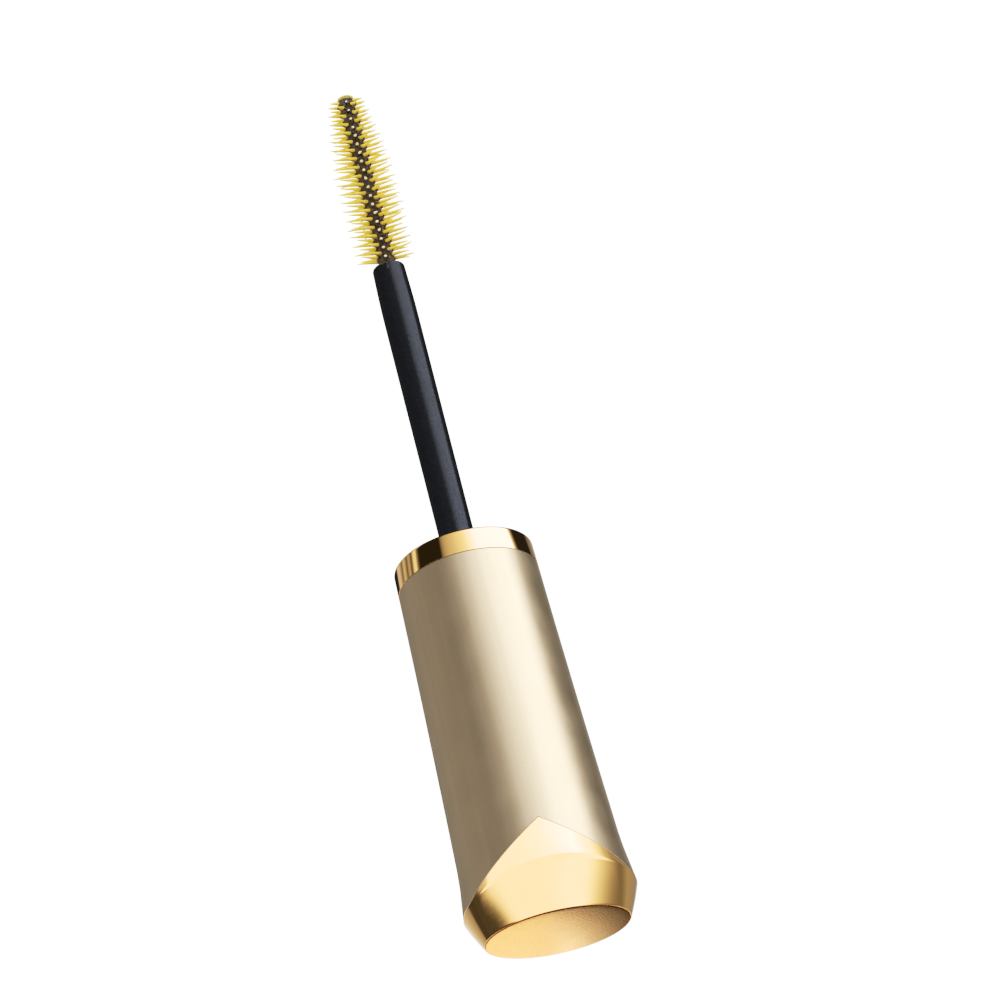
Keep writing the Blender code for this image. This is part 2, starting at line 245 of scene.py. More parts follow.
# Dark brown near the axis and along the front row of bristles
DARK_BROWN = (0.042, 0.024, 0.009)
FLOOR_WHITE = (0.86, 0.86, 0.86)
WARM_WHITE = (1.0, 0.97, 0.93)
WHITE = (1.0, 1.0, 1.0)

# Floor and surroundings
FLOOR_RADIUS = 3000.0
FLOOR_GLOW = 0.75
FLOOR_GLOW_RANGE = (50.0, 700.0)
WORLD_FILL = 0.02
BACKDROP = 2.0

# The brightest light that is shown, and the film curve's points of light and what is shown for it
WHITE_LEVEL = 2.0
SHOULDER = ((0.25, 0.25), (0.45, 0.44), (0.7, 0.61), (1.0, 0.755), (1.4, 0.88), (1.7, 0.95))

# Softboxes stand on spheres round the object, and the disc's stand close to it
LIGHT_DISTANCE = 700.0
DISC_LIGHT_DISTANCE = 21.0
LIGHT_SPREAD = 0.009
PANEL_STEP = 5
PANEL_TIER = 6

# Gold's light turns cooler above a strength
COOL_START = 1.3
COOL_RATE = 0.55
COOL_POWER = 1.6
COOLEST = 3.0

# One softbox slants below an elevation, down to a depth below that
SLANTING = "chamfer_light"
NARROWING_TOP = -18
NARROWING_DEPTH = 32
NARROWING_LEFT = 0.0105
NARROWING_RIGHT = 0.0072

# Wrap-around softboxes: the groups of pieces that each one lights, its lowest and highest elevation,
# the widths of its low and high soft edges, and its strength at azimuths counted from the camera,
# positive to the right, all in degrees
Softbox = namedtuple("Softbox", "lit low high edges stops")
SOFTBOXES = {
    "sleeve_light": Softbox(("sleeve",), -30, 64, (8, 8), (
        (-180, 0.12), (-150, 0.22), (-110, 0.37), (-70, 0.33), (-50, 0.27), (-36, 0.25), (-24, 0.35),
        (-14, 0.56), (-6, 0.9), (2, 1.18), (9, 1.5), (17, 1.75), (25, 2.1), (33, 2.6), (41, 2.9),
        (58, 3.4), (75, 3.5), (86, 3.4), (89, 0.22), (125, 0.09), (150, 0.1), (158, 0.5), (180, 0.3))),
    "collar_light": Softbox(("collar",), -30, 64, (8, 8), (
        (-166, 0.0), (-144, 0.0), (-138, 0.8), (-130, 0.8), (-119, 0.15), (-112, 0.8), (-103, 0.12),
        (-97, 0.6), (-91, 0.12), (-88, 0.2), (-85, 1.2), (-80, 1.4), (-77, 0.3), (-72, 0.0), (-31, 0.0),
        (-29, 0.2), (-24, 0.5), (-18, 0.7), (-8, 0.95), (0, 1.3), (10, 1.7), (20, 2.4), (30, 3.0),
        (60, 3.2), (92, 3.2), (95, 0.9), (99, 0.2), (102, 0.0), (136, 0.0), (142, 0.2), (160, 0.35),
        (170, 0.9))),
    "end_high_light": Softbox(("end",), 25, 68, (12, 12), (
        (-180, 0.4), (-135, 0.08), (-116, 0.1), (-106, 0.25), (-101, 0.9), (-86, 1.4), (-80, 2.2),
        (-50, 2.2), (-20, 2.3), (0, 2.45), (15, 2.6), (32, 2.8), (45, 3.0), (54, 3.3), (60, 2.9),
        (72, 2.5), (80, 2.35), (88, 1.8), (93, 1.6), (98, 1.0), (104, 0.9), (110, 0.5), (116, 0.45),
        (121, 0.27), (131, 0.2), (150, 0.12), (180, 0.4))),
    "chamfer_light": Softbox(("end",), -75, 37, (6, 12), (
        (-180, 1.4), (-150, 0.9), (-139, 0.72), (-119, 0.4), (-115, 0.05), (-104, 0.04), (-99, 0.06),
        (-94, 0.05), (-91, 0.07), (-89, 0.12), (-86.5, 0.3), (-84, 0.85), (-81.5, 1.6), (-76, 2.05),
        (-70, 2.1), (0, 2.1), (30, 2.15), (60, 2.3), (76, 2.25), (82, 1.95), (86, 1.55), (88.5, 1.25),
        (92, 0.85), (95, 0.6), (97, 0.46), (100, 0.32), (105, 0.2), (110, 0.22), (122, 0.42),
        (157, 0.3), (180, 1.4))),
    "disc_light": Softbox(("disc",), -50, 34, (14, 14), (
        (-212, 0.05), (-203, 0.1), (-196, 0.25), (-191, 0.4), (-185, 0.65), (-182, 1.0), (-176, 1.8),
        (-168, 2.0), (-140, 2.0), (-125, 1.2), (-110, 0.0))),
    "disc_back_light": Softbox(("disc",), -30, 34, (8, 8), (
        (-212, 0.0), (-204, 0.1), (-198, 0.22), (-194, 0.45), (-190, 0.6), (-186, 1.2), (-180, 0.9),
        (-176, 0.0))),
    "wand_light": Softbox(("wand",), -30, 64, (8, 8), (
        (-180, 0.02), (-60, 0.03), (0, 0.05), (8, 0.09), (16, 0.18), (28, 0.31), (50, 0.42), (85, 0.45),
        (98, 0.41), (103, 0.05), (125, 0.02), (180, 0.02))),
    "brush_light": Softbox(("brush",), 5, 72, (20, 20), (
        (-180, 2.0), (-90, 2.4), (0, 2.8), (90, 3.0), (180, 2.0))),
    "brush_fill": Softbox(("brush",), -85, 15, (20, 20), (
        (-180, 0.5), (-60, 0.9), (0, 1.3), (60, 1.1), (180, 0.5))),
    "low_light": Softbox(("sleeve", "collar"), -80, -24, (8, 8), (
        (-180, 1.2), (-120, 0.7), (-60, 1.4), (0, 1.8), (60, 1.5), (120, 0.7), (180, 1.2))),
    "back_light": Softbox(("sleeve", "collar"), -35, 10, (8, 8), (
        (-165, 0.0), (-155, 2.2), (-125, 3.0), (-105, 0.8), (-98, 0.0))),
}


def cap_radius(height):
    """Outer radius of the cap: a slight trumpet taper with more flare near the end."""
    down = CAP_HEIGHT - height
    radius = MOUTH_RADIUS + TAPER * down + TAPER_CURVE * down * down
    if height < FLARE_TOP:
        spread = FLARE_TOP - height
        radius += FLARE_SLOPE * (math.hypot(spread, FLARE_BLEND) - FLARE_BLEND)
    return radius


def crease_height(turn):
    """Height of the crease between the cap's wall and the chamfer."""
    return CREASE_SIDE + CREASE_RISE * math.cos(turn) ** 2


def gable_height(turn):
    """Height of the sleeve's lower edge: two planes that meet over the front and back.

    The cap's radius depends on the height, so the height is found by repeating.
    """
    height = GABLE_PEAK
    for _ in range(GABLE_ROUNDS):
        height = GABLE_PEAK - GABLE_SLOPE * cap_radius(height) * abs(math.sin(turn))
    return max(height, crease_height(turn) + EDGE_MIN)


# Mesh helpers


def angles(count=SEGMENTS):
    """Evenly spaced angles, starting at the front."""
    return [2 * math.pi * step / count for step in range(count)]


def ring(radius_at, height_at, count=SEGMENTS):
    """A closed ring of points; radius and height are functions of the angle from the front."""
    points = []
    for turn in angles(count):
        radius = radius_at(turn)
        points.append((radius * math.sin(turn), -radius * math.cos(turn), height_at(turn)))
    return points


def round_ring(radius, height, count=SEGMENTS):
    """A level circle."""
    return ring(lambda turn: radius, lambda turn: height, count)


def oval_ring(half_x, half_y, height, count=SEGMENTS):
    """A level ellipse, each point where it faces the same way as a circle's point at that angle."""
    points = []
    for turn in angles(count):
        size = math.hypot(half_x * math.sin(turn), half_y * math.cos(turn))
        points.append((half_x ** 2 * math.sin(turn) / size, -half_y ** 2 * math.cos(turn) / size, height))
    return points


def wall_ring(inset, height_at):
    """A ring on the cap's outer surface, or inside it by the inset."""
    return ring(lambda turn: cap_radius(height_at(turn)) - inset, height_at)


def mix(p, q, share):
    """The point part of the way from p to q."""
    return tuple(a + share * (b - a) for a, b in zip(p, q))


def bridge(bm, low, high):
    """Quads between two rings of vertices."""
    count = len(low)
    for i in range(count):
        j = (i + 1) % count
        bm.faces.new((low[i], low[j], high[j], high[i]))


def fill_with_rings(bm, loop, height, steps=4):
    """Close a level loop with a few smaller copies of itself and a flat face in the middle."""
    for step in range(1, steps):
        share = 1 - step / steps
        inner = [bm.verts.new((v.co.x * share, v.co.y * share, height)) for v in loop]
        bridge(bm, loop, inner)
        loop = inner
    bm.faces.new(loop)


def add_object(name, data):
    """A new object in the scene for a mesh or a camera."""
    thing = bpy.data.objects.new(name, data)
    bpy.context.scene.collection.objects.link(thing)
    return thing


def finished_mesh(name, bm):
    """The bmesh as a mesh; the bmesh is freed."""
    mesh = bpy.data.meshes.new(name)
    bm.to_mesh(mesh)
    bm.free()
    return mesh


def add_piece(name, bm, node, material, sharp_angle=35):
    """Turn a bmesh in millimetres into a piece that stands for a CAD node."""
    bmesh.ops.recalc_face_normals(bm, faces=bm.faces)
    bmesh.ops.scale(bm, vec=(MM, MM, MM), verts=bm.verts)
    mesh = finished_mesh(name, bm)
    mesh.shade_smooth()
    mesh.set_sharp_from_angle(angle=math.radians(sharp_angle))
    mesh.materials.append(material)
    piece = add_object(name, mesh)
    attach(piece, "root")
    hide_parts(node)
    return piece


def loft(rings, looped=False):
    """A closed bmesh through a list of rings, capped at both ends or looped like a tube wall."""
    bm = bmesh.new()
    loops = [[bm.verts.new(point) for point in points] for points in rings]
    for low, high in zip(loops, loops[1:]):
        bridge(bm, low, high)
    if looped:
        bridge(bm, loops[-1], loops[0])
    else:
        fill_with_rings(bm, loops[0], rings[0][0][2])
        fill_with_rings(bm, loops[-1], rings[-1][0][2])
    return bm


def lathe(profile, count=SEGMENTS, looped=False):
    """A turned body from (radius, height) points."""
    return loft([round_ring(radius, height, count) for radius, height in profile], looped)


def rounded(profile, edges, steps=5, looped=False):
    """The (radius, height) profile with the corners named in edges rounded by that radius."""
    points = []
    count = len(profile)
    for index, corner in enumerate(profile):
        size = edges.get(index, 0)
        inside = looped or 0 < index < count - 1
        if not size or not inside:
            points.append(corner)
            continue
        before = profile[index - 1]
        after = profile[(index + 1) % count]
        start = mix(corner, before, min(0.45, size / math.dist(corner, before)))
        end = mix(corner, after, min(0.45, size / math.dist(corner, after)))
        for step in range(steps + 1):
            share = step / steps
            points.append(mix(mix(start, corner, share), mix(corner, end, share), share))
    return points


# Materials


class Graph:
    """The nodes of a material or a world. They work in metres, noise scales and bumps included."""

    def __init__(self, tree):
        self.nodes = tree.nodes
        self.links = tree.links

    def plug(self, source, socket):
        """Feed a socket from another node's output, or set it to a constant."""
        if isinstance(source, bpy.types.NodeSocket):
            self.links.new(source, socket)
        else:
            socket.default_value = source

    def feed(self, name, source):
        """Feed or set a socket of the Principled shader."""
        self.plug(source, self.nodes["Principled BSDF"].inputs[name])

    def point(self, stretch=(1.0, 1.0, 1.0), turn=0.0):
        """Object coordinates, turned about the axis and stretched along each axis."""
        coordinates = self.nodes.new("ShaderNodeTexCoord")
        mapping = self.nodes.new("ShaderNodeMapping")
        self.plug(coordinates.outputs["Object"], mapping.inputs["Vector"])
        self.plug(stretch, mapping.inputs["Scale"])
        self.plug((0.0, 0.0, turn), mapping.inputs["Rotation"])
        return mapping.outputs["Vector"]

    def split(self, vector):
        """The three parts of a vector."""
        node = self.nodes.new("ShaderNodeSeparateXYZ")
        self.plug(vector, node.inputs["Vector"])
        return node.outputs["X"], node.outputs["Y"], node.outputs["Z"]

    def length(self, vector):
        """The length of a vector."""
        node = self.nodes.new("ShaderNodeVectorMath")
        node.operation = "LENGTH"
        self.plug(vector, node.inputs[0])
        return node.outputs["Value"]

    def noise(self, point, scale, detail=3.0):
        """A noise texture's factor."""
        node = self.nodes.new("ShaderNodeTexNoise")
        for name, source in (("Vector", point), ("Scale", scale), ("Detail", detail)):
            self.plug(source, node.inputs[name])
        return node.outputs["Fac"]

    def calculate(self, operation, *values):
        """A Math node on sockets and numbers."""
        node = self.nodes.new("ShaderNodeMath")
        node.operation = operation
        for value, socket in zip(values, node.inputs):
            self.plug(value, socket)
        return node.outputs["Value"]

    def remap(self, value, low, high, to_low, to_high):
        """A linear change of range, clamped."""
        node = self.nodes.new("ShaderNodeMapRange")
        names = ("Value", "From Min", "From Max", "To Min", "To Max")
        for name, source in zip(names, (value, low, high, to_low, to_high)):
            self.plug(source, node.inputs[name])
        return node.outputs["Result"]

    def fade(self, value, limits, to_low, to_high):
        """A change of range between two limits in millimetres."""
        return self.remap(value, limits[0] * MM, limits[1] * MM, to_low, to_high)

    def mix(self, factor, first, second):
        """A mix of two colours by a factor."""
        node = self.nodes.new("ShaderNodeMix")
        node.data_type = "RGBA"
        self.plug(factor, node.inputs["Factor"])
        for name, colour in (("A", first), ("B", second)):
            socket = next(s for s in node.inputs if s.name == name and s.type == "RGBA")
            self.plug((*colour, 1.0) if isinstance(colour, tuple) else colour, socket)
        return next(s for s in node.outputs if s.type == "RGBA")

    def mix_shaders(self, factor, first, second):
        """A mix of two shaders by a factor."""
        node = self.nodes.new("ShaderNodeMixShader")
        for source, socket in zip((factor, first, second), node.inputs):
            self.plug(source, socket)
        return node.outputs["Shader"]

    def bump(self, height, strength, distance):
        """Bump on the Principled shader from a height."""
        node = self.nodes.new("ShaderNodeBump")
        for name, source in (("Height", height), ("Strength", strength), ("Distance", distance)):
            self.plug(source, node.inputs[name])
        self.feed("Normal", node.outputs["Normal"])


def new_material(name, colour, roughness, metallic=0.0):
    """A Principled material and its graph."""
    material = bpy.data.materials.new(name)
    material.use_nodes = True
    graph = Graph(material.node_tree)
    graph.feed("Base Color", (*colour, 1.0))
    graph.feed("Roughness", roughness)
    graph.feed("Metallic", metallic)
    return material, graph


def champagne_material():
    """Satin anodised aluminium with a fine pearly grain, and faint lighter lengthwise streaks that are
    partly brushed grain and partly painted reflection.
    """
    material, graph = new_material("champagne_anodised", ANODISED, 0.36, metallic=1.0)
    point = graph.point()
    grain = graph.noise(point, scale=5200.0)
    cloud = graph.noise(point, scale=260.0)
    streak_and_sheen = graph.noise(graph.point(stretch=(1.0, 1.0, 0.02)), scale=900.0)
    colour = graph.mix(cloud, *ANODISED_CLOUDS)
    # Lighter lengthwise streaks: partly brushed grain, partly painted streaks of reflection
    colour = graph.mix(graph.remap(streak_and_sheen, 0.4, 0.7, 0.0, 0.8), colour, ANODISED_STREAK_AND_SHEEN)
    colour = graph.mix(graph.remap(grain, 0.3, 0.75, 0.0, 0.4), colour, ANODISED_FLECK)
    graph.feed("Base Color", colour)
    graph.feed("Roughness", graph.remap(cloud, 0.3, 0.7, 0.33, 0.39))
    graph.bump(grain, strength=0.25, distance=0.00001)
    return material


def polished_gold_material(name, smoothest, roughest):
    """Mirror-bright gold with faint polishing marks and cloudy wear."""
    material, graph = new_material(name, GOLD, 0.1, metallic=1.0)
    cloud = graph.noise(graph.point(), scale=420.0)
    marks = graph.noise(graph.point(stretch=(1.0, 1.0, 14.0)), scale=900.0, detail=5.0)
    graph.feed("Base Color", graph.mix(cloud, DEEP_GOLD, GOLD))
    graph.feed("Roughness", graph.remap(marks, 0.45, 0.8, smoothest, roughest))
    graph.bump(marks, strength=0.03, distance=0.000004)
    return material


def satin_gold_material():
    """Gold disc with a fine blasted grain."""
    material, graph = new_material("satin_gold", SATIN_GOLD, 0.3, metallic=1.0)
    point = graph.point()
    grain = graph.noise(point, scale=4600.0, detail=2.0)
    cloud = graph.noise(point, scale=500.0)
    graph.feed("Base Color", graph.mix(graph.remap(grain, 0.35, 0.7, 0.0, 1.0), *SATIN_GRAIN))
    graph.feed("Roughness", graph.remap(cloud, 0.3, 0.7, 0.18, 0.26))
    graph.bump(grain, strength=0.5, distance=0.00004)
    return material


def steel_material():
    """Turned steel for the weight in the cap."""
    material, graph = new_material("weight_steel", STEEL, 0.35, metallic=1.0)
    marks = graph.noise(graph.point(stretch=(1.0, 1.0, 20.0)), scale=900.0)
    graph.feed("Roughness", graph.remap(marks, 0.3, 0.7, 0.28, 0.42))
    graph.bump(marks, strength=0.2, distance=0.00001)
    return material


def plastic_material(name, colour, roughness, grain_scale, bump_depth, metallic=0.0):
    """Moulded or lacquered plastic with a faint surface texture."""
    material, graph = new_material(name, colour, roughness, metallic)
    point = graph.point()
    grain = graph.noise(point, scale=grain_scale)
    cloud = graph.noise(point, scale=300.0)
    lighter = tuple(min(1.0, 1.35 * part + 0.002) for part in colour)
    graph.feed("Base Color", graph.mix(cloud, colour, lighter))
    graph.feed("Roughness", graph.remap(grain, 0.3, 0.7, roughness - 0.01, roughness + 0.015))
    graph.bump(grain, strength=0.3, distance=bump_depth)
    return material


def bristle_material():
    """Yellow elastomer, dark brown near the axis and along the front row, with painted highlights: paler
    yellow towards the bristle tips, and pale cream on the front row's tips.
    """
    material, graph = new_material("bristle_elastomer", BRISTLE_YELLOW, 0.4)
    point = graph.point(turn=-ROW_TURN)
    x, y, z = graph.split(point)
    across = graph.nodes.new("ShaderNodeCombineXYZ")
    graph.plug(x, across.inputs["X"])
    graph.plug(y, across.inputs["Y"])
    reach = graph.length(across.outputs["Vector"])
    ragged = graph.noise(point, scale=1500.0)

    # Dark brown near the axis and along the front row, ragged at its edge, fading to yellow above the tip
    # height
    strip = graph.fade(graph.calculate("ABSOLUTE", x), STRIP_SIDE, 1.0, 0.0)
    strip = graph.calculate("MULTIPLY", strip, graph.fade(y, STRIP_FRONT, 1.0, 0.0))
    depth = graph.calculate("MULTIPLY_ADD", strip, -STRIP_REACH * MM, reach)
    depth = graph.calculate("MULTIPLY_ADD", ragged, BROWN_EDGE_NOISE * MM, depth)
    yellow_share = graph.fade(depth, BROWN_REACH, 0.0, 1.0)
    yellow_share = graph.calculate("MAXIMUM", yellow_share, graph.fade(z, YELLOW_TIP, 0.0, 0.8))

    yellow = graph.mix(graph.noise(point, scale=700.0), *YELLOW_CLOUDS)
    # Painted highlight: paler yellow towards the bristle tips
    yellow = graph.mix(graph.fade(reach, TIP_HIGHLIGHT_REACH, 0.0, 0.5), yellow, TIP_HIGHLIGHT_YELLOW)
    # Painted highlight: pale cream on the tips of the front row
    front_tip_highlight = graph.calculate("MULTIPLY", strip, graph.fade(reach, FRONT_TIP_HIGHLIGHT_REACH, 0.0, 1.0))
    yellow = graph.mix(front_tip_highlight, yellow, FRONT_TIP_HIGHLIGHT)
    graph.feed("Base Color", graph.mix(yellow_share, DARK_BROWN, yellow))
    graph.feed("Roughness", graph.remap(yellow_share, 0.0, 1.0, 0.6, 0.4))
    graph.feed("Specular IOR Level", 0.25)
    graph.feed("Subsurface Weight", 0.15)
    graph.feed("Subsurface Radius", tuple(depth * MM for depth in GLOW_DEPTHS))
    graph.feed("Subsurface Scale", 1.0)
    graph.bump(ragged, strength=0.3, distance=0.00003)
    return material


# Pieces of the cap


def make_sleeve(material):
    """Thin shell with small rounded lips along both edges."""
    top = CAP_HEIGHT - COLLAR_HEIGHT - FIT_GAP

    def part_way(share):
        return lambda turn: gable_height(turn) + share * (top - gable_height(turn))

    heights = [part_way(share) for share in SLEEVE_LEVELS]
    rings = [
        wall_ring(LIP, gable_height),
        *[wall_ring(0.0, height_at) for height_at in heights],
        wall_ring(0.0, lambda turn: top - LIP),
        wall_ring(LIP, lambda turn: top),
        wall_ring(WALL, lambda turn: top),
        *[wall_ring(WALL, height_at) for height_at in reversed(heights[2::3])],
        wall_ring(WALL, gable_height),
    ]
    bm = loft(rings, looped=True)
    return add_piece("sleeve_shell", bm, "outer_sleeve", material)


def make_collar(material):
    """Polished band with a rounded rim and a spigot inside the sleeve."""
    bottom = CAP_HEIGHT - COLLAR_HEIGHT
    spigot_radius = cap_radius(bottom) - WALL - FIT_GAP
    profile = [
        (cap_radius(bottom), bottom),
        (MOUTH_RADIUS, CAP_HEIGHT),
        (COLLAR_INNER_RADIUS, CAP_HEIGHT),
        (COLLAR_INNER_RADIUS, bottom - COLLAR_SPIGOT),
        (spigot_radius, bottom - COLLAR_SPIGOT),
        (spigot_radius, bottom),
    ]
    edges = {0: LIP, 1: COLLAR_EDGE, 2: COLLAR_INNER_EDGE, 3: COLLAR_SPIGOT_EDGE, 4: COLLAR_SPIGOT_EDGE}
    bm = lathe(rounded(profile, edges, looped=True), looped=True)
    return add_piece("collar_band", bm, "mouth_collar", material)


def crease_curve(turn, foot, steps=10):
    """Points of one column from the chamfer round the crease to the wall."""
    room = gable_height(turn) - FIT_GAP - crease_height(turn)
    soft = max(CREASE_SHARP, CREASE_SOFT * math.cos(turn) ** 2)
    above = min(soft, CREASE_ROOM * max(room, CREASE_ROOM_MIN))

    def on_wall(height):
        radius = cap_radius(height)
        return (radius * math.sin(turn), -radius * math.cos(turn), height)

    corner = on_wall(crease_height(turn))
    start = mix(corner, foot, soft / math.dist(corner, foot))
    end = on_wall(crease_height(turn) + above)
    points = []
    for step in range(steps + 1):
        share = step / steps
        points.append(mix(mix(start, corner, share), mix(corner, end, share), share))
    return points


def chamfer_ring(foot, crease, share):
    """A ring part of the way up the chamfer, which swells very slightly."""
    swell = 4 * CHAMFER_SWELL * share * (1 - share)
    points = []
    for p, q in zip(foot, crease):
        point = Vector(mix(p, q, share))
        along = (Vector(q) - Vector(p)).normalized()
        outward = Vector((point.x, point.y, 0.0)).normalized()
        outward = (outward - along * outward.dot(along)).normalized()
        points.append(tuple(point + outward * swell))
    return points


def make_end_cap(material):
    """Chiselled end: chamfer, rounded crease, gable-shaped wall and hollow spigot."""
    joint_x = DISC_HALF_X + DISC_JOINT
    joint_y = DISC_HALF_Y + DISC_JOINT
    foot = oval_ring(joint_x + RIM_LAND, joint_y + RIM_LAND, DISC_PROUD + RIM_EDGE)
    inset = WALL + FIT_GAP

    def edge_height(turn):
        return gable_height(turn) - FIT_GAP

    def part_way(share):
        return lambda turn: edge_height(turn) + share * (SPIGOT_START - edge_height(turn))

    columns = [crease_curve(turn, point) for turn, point in zip(angles(), foot)]
    crease = [list(points) for points in zip(*columns)]
    chamfer = [chamfer_ring(foot, crease[0], share) for share in CHAMFER_LEVELS]
    edge = wall_ring(0.0, edge_height)
    wall = [[mix(p, q, share) for p, q in zip(crease[-1], edge)] for share in (0.35, 0.7)]
    spigot_radius = cap_radius(SPIGOT_TOP) - inset
    rings = [
        oval_ring(joint_x, joint_y, DISC_THICKNESS + DISC_JOINT),
        oval_ring(joint_x, joint_y, DISC_PROUD + RIM_EDGE),
        oval_ring(joint_x + RIM_EDGE, joint_y + RIM_EDGE, DISC_PROUD),
        oval_ring(joint_x + RIM_LAND - RIM_EDGE, joint_y + RIM_LAND - RIM_EDGE, DISC_PROUD),
        foot,
        *chamfer,
        *crease,
        *wall,
        edge,
        *[wall_ring(inset, part_way(share)) for share in (0.0, 0.35, 0.7, 1.0)],
        round_ring(spigot_radius, SPIGOT_TOP),
        round_ring(spigot_radius - SPIGOT_WALL, SPIGOT_TOP),
        round_ring(spigot_radius - SPIGOT_WALL, CAVITY_SHOULDER),
        oval_ring(CAVITY_HALF_X, CAVITY_HALF_Y, CAVITY_FLOOR),
    ]
    return add_piece("chiselled_end", loft(rings), "end_cap", material, sharp_angle=30)


def make_disc(material):
    """Elliptical plate, very slightly crowned, with a rolled edge."""
    flat_x, flat_y = DISC_HALF_X - DISC_EDGE, DISC_HALF_Y - DISC_EDGE
    rings = []
    for share in DISC_LEVELS:
        rings.append(oval_ring(flat_x * share, flat_y * share, DISC_CROWN * share ** 3))
    for step in range(1, DISC_EDGE_STEPS + 1):
        lean = math.radians(90 * step / DISC_EDGE_STEPS)
        inset = DISC_EDGE * (1 - math.sin(lean))
        height = DISC_CROWN + DISC_EDGE * (1 - math.cos(lean))
        rings.append(oval_ring(DISC_HALF_X - inset, DISC_HALF_Y - inset, height))
    rings.append(oval_ring(DISC_HALF_X, DISC_HALF_Y, DISC_THICKNESS))
    return add_piece("end_plate", loft(rings), "end_disc", material)


def thread_radius(turn, height):
    """Radius of the liner's bore: a rounded helical ridge stands out of its wall."""
    along = (height - THREAD_BOTTOM) / THREAD_PITCH - turn / (2 * math.pi)
    ridge = max(0.0, math.cos(2 * math.pi * along)) ** THREAD_SHARPNESS
    turns_from_end = min(height - THREAD_BOTTOM, THREAD_TOP - height) / THREAD_PITCH
    fade = max(0.0, min(1.0, turns_from_end / THREAD_FADE_TURNS))
    return BORE_RADIUS - (BORE_RADIUS - THREAD_CREST_RADIUS) * ridge * fade


def make_liner(material):
    """Screw liner with a helical thread."""
    clear = WALL + LINER_CLEARANCE
    outside = [
        (SOCKET_OUTER_RADIUS, SOCKET_BOTTOM),
        (SOCKET_OUTER_RADIUS, LINER_BOTTOM),
        (cap_radius(LINER_BOTTOM) - clear, LINER_BOTTOM),
        (cap_radius(LINER_SHOULDER) - clear, LINER_SHOULDER - FIT_GAP),
        (LINER_NECK_RADIUS, LINER_SHOULDER - FIT_GAP),
        (LINER_NECK_RADIUS, LINER_RIM),
        (BORE_RADIUS, LINER_RIM),
        (BORE_RADIUS, THREAD_TOP + THREAD_MARGIN),
    ]
    inside = [
        (BORE_RADIUS, THREAD_BOTTOM - THREAD_MARGIN),
        (BORE_RADIUS, LINER_FLOOR),
        (SEAT_RADIUS, LINER_FLOOR),
        (SEAT_RADIUS, LINER_FLOOR - SEAT_DEPTH),
        (SOCKET_RADIUS, LINER_FLOOR - SEAT_DEPTH),
        (SOCKET_RADIUS, SOCKET_FLOOR),
    ]
    rings = [round_ring(r, z) for r, z in rounded(outside, {5: LINER_EDGE, 6: 2 * LINER_EDGE})]
    for step in range(THREAD_RINGS + 1):
        level = THREAD_TOP + (THREAD_BOTTOM - THREAD_TOP) * step / THREAD_RINGS
        rings.append(ring(lambda turn, z=level: thread_radius(turn, z), lambda turn, z=level: z))
    rings += [round_ring(r, z) for r, z in rounded(inside, {1: LINER_EDGE})]
    return add_piece("screw_liner", loft(rings), "inner_cap", material, sharp_angle=50)


def make_seal(material):
    """Soft washer with rolled edges."""
    bottom = LINER_FLOOR + FIT_GAP
    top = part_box("neck_seal")[1].z / MM
    profile = [
        (SEAL_HOLE_RADIUS, top),
        (SEAL_RADIUS, top),
        (SEAL_RADIUS, bottom),
        (SEAL_HOLE_RADIUS, bottom),
    ]
    edges = {corner: SEAL_EDGE for corner in range(4)}
    bm = lathe(rounded(profile, edges, looped=True), looped=True)
    return add_piece("seal_washer", bm, "neck_seal", material)


def make_stem(material):
    """Wand with a rounded shoulder at its tip."""
    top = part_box("stem")[1].z / MM
    flange_bottom = LINER_FLOOR - SEAT_DEPTH + FIT_GAP
    flange_top = LINER_FLOOR - FIT_GAP
    profile = [
        (PLUG_RADIUS - STEM_EDGE, PLUG_BOTTOM),
        (PLUG_RADIUS, PLUG_BOTTOM + STEM_EDGE),
        (PLUG_RADIUS, flange_bottom),
        (FLANGE_RADIUS, flange_bottom),
        (FLANGE_RADIUS, flange_top),
        (STEM_RADIUS, flange_top),
        (STEM_RADIUS, STEM_TAPER_START),
        (STEM_TIP_RADIUS, top),
        (SHANK_BORE_RADIUS, top),
        (SHANK_BORE_RADIUS, SHANK_BORE_FLOOR),
    ]
    edges = {6: STEM_TAPER_BLEND, 7: STEM_EDGE, 8: SHANK_BORE_EDGE}
    bm = lathe(rounded(profile, edges, steps=8), STEM_SEGMENTS)
    return add_piece("wand_stem", bm, "stem", material, sharp_angle=40)


def make_core(material):
    """Core of the brush: a shank in the stem and a thin rod in the bristle tube."""
    stem_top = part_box("stem")[1].z / MM
    profile = [
        (SHANK_RADIUS, SHANK_BORE_FLOOR + FIT_GAP),
        (SHANK_RADIUS, stem_top),
        (CORE_RADIUS, stem_top),
        (CORE_RADIUS, TUBE_BORE_TOP - FIT_GAP),
    ]
    bm = lathe(rounded(profile, {1: SHANK_EDGE}), CORE_SEGMENTS)
    return add_piece("core_rod", bm, "brush_core", material, sharp_angle=40)


# Brush


def bristle_reach(height):
    """How far the tips of the bristles stand from the axis, fullest below the middle."""
    share = (height - BRISTLE_START) / (BRISTLE_PITCH * BRISTLES_PER_ROW)
    for (low, near), (high, far) in zip(REACHES, REACHES[1:]):
        if share <= high:
            return near + (far - near) * (share - low) / (high - low)
    return REACHES[-1][1]


def tube_ring(radius, height):
    """A level ring with a point at each row of bristles and at each seam between rows."""
    turns = [ROW_TURN + math.pi * column / BRISTLE_ROWS for column in range(2 * BRISTLE_ROWS)]
    return [(radius * math.sin(turn), -radius * math.cos(turn), height) for turn in turns]


